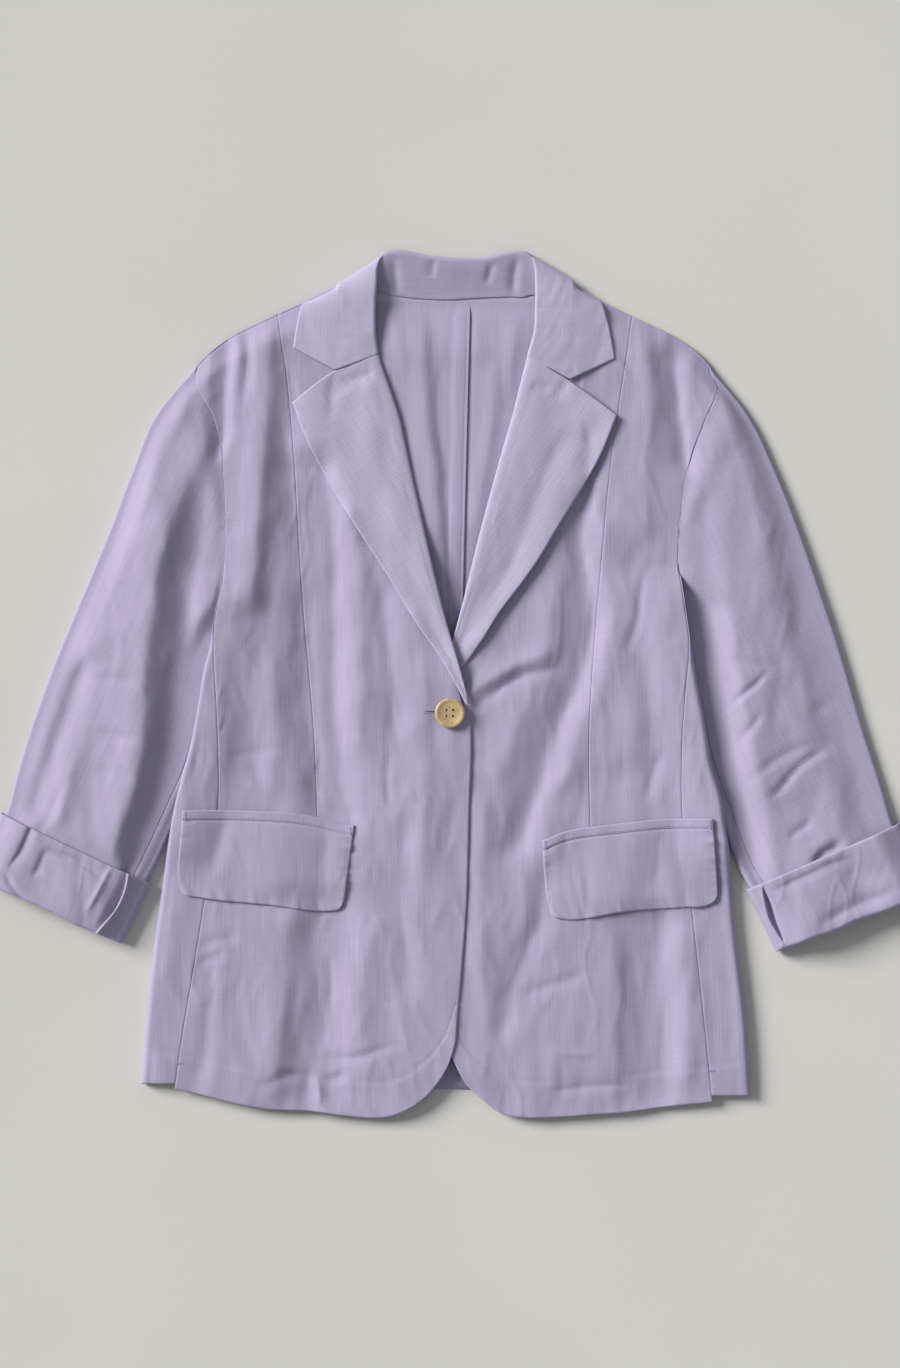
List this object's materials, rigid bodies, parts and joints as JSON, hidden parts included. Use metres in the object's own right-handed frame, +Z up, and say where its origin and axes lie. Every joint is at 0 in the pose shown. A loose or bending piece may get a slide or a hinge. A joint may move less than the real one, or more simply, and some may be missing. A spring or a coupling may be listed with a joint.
{
  "type": "single breasted blazer",
  "caption": "Relaxed linen blazer laid flat, front up: notch lapels, buttoned front, flap pockets, turned-up cuffs.",
  "frame": {"origin": "middle of the blazer's outline, on the surface that it lies on", "axes": "+X to the wearer's left, along the spread sleeves; +Y from hem to collar; +Z up, out of the front"},
  "size_m": [0.8, 0.7189, 0.02],
  "materials": {
    "linen": "lilac plain weave linen, matt, washed and lightly creased",
    "button": "pale horn-like button with a soft polish"
  },
  "bodies": {
    "root": {"back_right": "linen", "back_left": "linen", "side_panel_right": "linen", "side_panel_left": "linen", "front_right": "linen", "front_left": "linen", "front_side_right": "linen", "front_side_left": "linen", "lapel_right": "linen", "lapel_left": "linen", "collar_stand": "linen", "collar_fall": "linen", "top_sleeve_right": "linen", "top_sleeve_left": "linen", "under_sleeve_right": "linen", "under_sleeve_left": "linen", "cuff_right": "linen", "cuff_left": "linen", "pocket_welt_right": "linen", "pocket_welt_left": "linen", "pocket_flap_right": "linen", "pocket_flap_left": "linen", "button": "button"}
  },
  "joints": []
}
